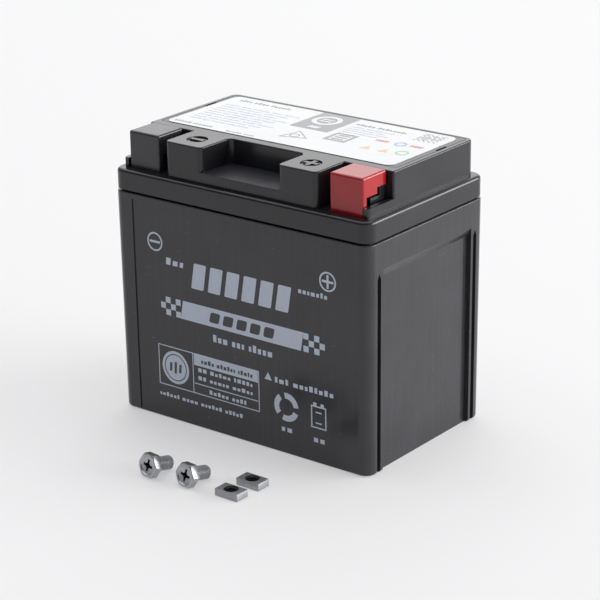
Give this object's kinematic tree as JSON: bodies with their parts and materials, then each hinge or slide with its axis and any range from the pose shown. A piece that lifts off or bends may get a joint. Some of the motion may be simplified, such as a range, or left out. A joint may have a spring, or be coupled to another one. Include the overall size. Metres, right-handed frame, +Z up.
{
  "type": "motorcycle battery",
  "caption": "Sealed lead-acid motorcycle battery: drafted black jar, stepped cover with vent plate and label, capped front terminals, loose terminal screws and nuts.",
  "frame": {"origin": "centre of the jar's flat base, on the surface it stands on", "axes": "+Z up, +X along the long side towards the positive terminal, -Y towards the face with the terminals and the loose hardware"},
  "size_m": [0.113, 0.1139, 0.1055],
  "materials": {
    "case_plastic": "satin black moulded polypropylene",
    "cover_plastic": "satin black moulded polypropylene",
    "vent_plate_plastic": "satin black moulded polypropylene",
    "label_film": "glossy laminated paper",
    "terminal_metal": "tin-plated brass",
    "potting_red": "cast epoxy",
    "potting_black": "cast epoxy",
    "cap_red": "satin flexible plastic",
    "cap_black": "satin flexible plastic",
    "valve_rubber": "matte",
    "lead": "dull cast lead",
    "separator_felt": "glass-fibre felt",
    "zinc_plated_steel": "bright zinc plating"
  },
  "bodies": {
    "battery": {"case": "case_plastic", "cover": "cover_plastic", "vent_plate": "vent_plate_plastic", "top_label": "label_film", "positive_terminal": "terminal_metal", "negative_terminal": "terminal_metal", "positive_terminal_seal": "potting_red", "negative_terminal_seal": "potting_black", "vent_valve_1": "valve_rubber", "positive_plates_cell_1": "lead", "negative_plates_cell_1": "lead", "separators_cell_1": "separator_felt", "vent_valve_2": "valve_rubber", "positive_plates_cell_2": "lead", "negative_plates_cell_2": "lead", "separators_cell_2": "separator_felt", "vent_valve_3": "valve_rubber", "positive_plates_cell_3": "lead", "negative_plates_cell_3": "lead", "separators_cell_3": "separator_felt", "vent_valve_4": "valve_rubber", "positive_plates_cell_4": "lead", "negative_plates_cell_4": "lead", "separators_cell_4": "separator_felt", "vent_valve_5": "valve_rubber", "positive_plates_cell_5": "lead", "negative_plates_cell_5": "lead", "separators_cell_5": "separator_felt", "vent_valve_6": "valve_rubber", "positive_plates_cell_6": "lead", "negative_plates_cell_6": "lead", "separators_cell_6": "separator_felt", "intercell_connector_1": "lead", "intercell_connector_2": "lead", "intercell_connector_3": "lead", "intercell_connector_4": "lead", "intercell_connector_5": "lead"},
    "positive_cap": {"positive_terminal_cap": "cap_red"},
    "negative_cap": {"negative_terminal_cap": "cap_black"},
    "screw_1": {"screw_1": "zinc_plated_steel"},
    "screw_2": {"screw_2": "zinc_plated_steel"},
    "nut_1": {"nut_1": "zinc_plated_steel"},
    "nut_2": {"nut_2": "zinc_plated_steel"}
  },
  "joints": [
    {"name": "positive_cap_lift", "type": "slide", "parent": "battery", "child": "positive_cap", "axis": [0, 0, 1], "range_m": [0, 0.05]},
    {"name": "negative_cap_lift", "type": "slide", "parent": "battery", "child": "negative_cap", "axis": [0, 0, 1], "range_m": [0, 0.05]},
    {"name": "screw_1_lift", "type": "slide", "parent": "battery", "child": "screw_1", "axis": [0, 0, 1], "range_m": [0, 0.03]},
    {"name": "screw_2_lift", "type": "slide", "parent": "battery", "child": "screw_2", "axis": [0, 0, 1], "range_m": [0, 0.03]},
    {"name": "nut_1_lift", "type": "slide", "parent": "battery", "child": "nut_1", "axis": [0, 0, 1], "range_m": [0, 0.03]},
    {"name": "nut_2_lift", "type": "slide", "parent": "battery", "child": "nut_2", "axis": [0, 0, 1], "range_m": [0, 0.03]}
  ]
}
